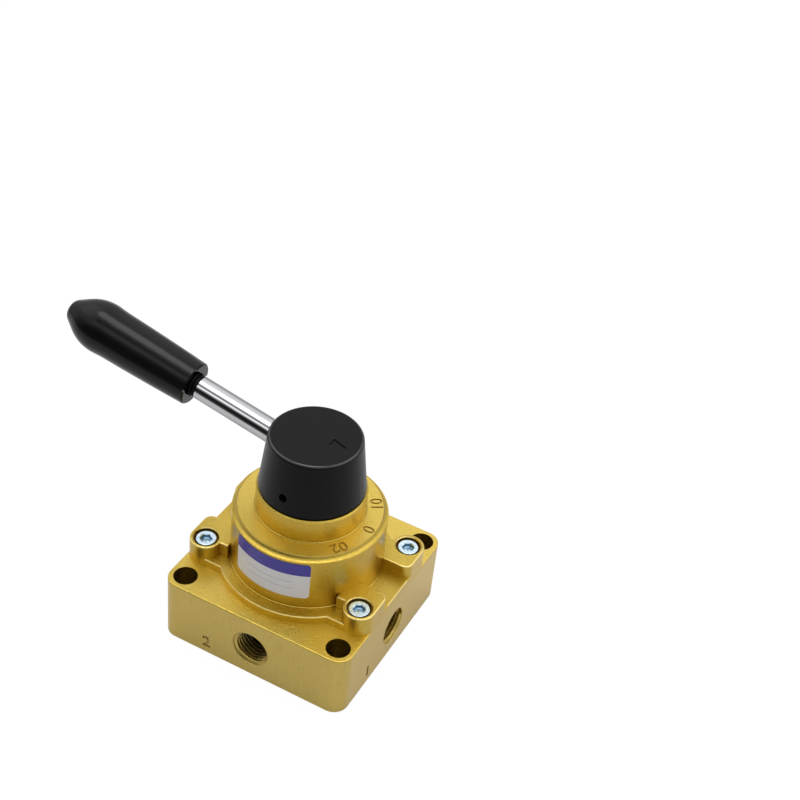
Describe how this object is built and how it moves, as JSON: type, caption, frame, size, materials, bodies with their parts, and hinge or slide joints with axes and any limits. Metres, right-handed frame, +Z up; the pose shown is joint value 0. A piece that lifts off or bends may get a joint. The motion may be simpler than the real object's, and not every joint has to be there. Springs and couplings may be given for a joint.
{
  "type": "hand lever air valve",
  "caption": "Rotary hand lever valve for compressed air: square ported block, round cast bonnet, conical hub, and a rod lever with a moulded grip that turns to three marked positions.",
  "frame": {"origin": "centre of the block's bottom face, which is the mounting face", "axes": "+Z up along the lever's turning axis; +X towards the neutral mark; the lever points to -X at rest; the label faces -Y"},
  "size_m": [0.1311, 0.07, 0.0959],
  "materials": {
    "gold_casting": "satin gold anodised casting, finely pitted",
    "seal_rubber": "matt moulded rubber",
    "bearing_bronze": "sintered bronze, oiled",
    "label_foil": "printed foil, half gloss",
    "machined_steel": "turned",
    "disc_alloy": "hard anodised and lapped",
    "spring_steel": "drawn wire",
    "white_plastic": "low-friction plastic",
    "black_hub": "satin black paint on a casting",
    "chrome_rod": "bright chrome plate",
    "grip_plastic": "glossy moulding",
    "ball_steel": "polished",
    "zinc_screw": "bright zinc plate"
  },
  "bodies": {
    "housing": {"valve_body": "gold_casting", "bonnet": "gold_casting", "bonnet_seal": "seal_rubber", "shaft_bush": "bearing_bronze", "name_label": "label_foil", "bonnet_screw_1": "zinc_screw", "bonnet_screw_2": "zinc_screw", "bonnet_screw_3": "zinc_screw", "bonnet_screw_4": "zinc_screw"},
    "turning_group": {"spindle": "machined_steel", "rotor_disc": "disc_alloy", "disc_spring": "spring_steel", "shaft_seal": "seal_rubber", "thrust_washer": "white_plastic", "lever_hub": "black_hub", "hub_set_screw": "machined_steel", "lever_rod": "chrome_rod", "lever_grip": "grip_plastic", "drive_pin_1": "machined_steel", "drive_pin_2": "machined_steel", "detent_spring_1": "spring_steel", "detent_spring_2": "spring_steel", "detent_ball_1": "ball_steel", "detent_ball_2": "ball_steel"}
  },
  "joints": [
    {"name": "lever_turn", "type": "hinge", "parent": "housing", "child": "turning_group", "pos_m": [0, 0, 0.0594], "axis": [0, 0, 1], "range_deg": [-35, 35]}
  ]
}
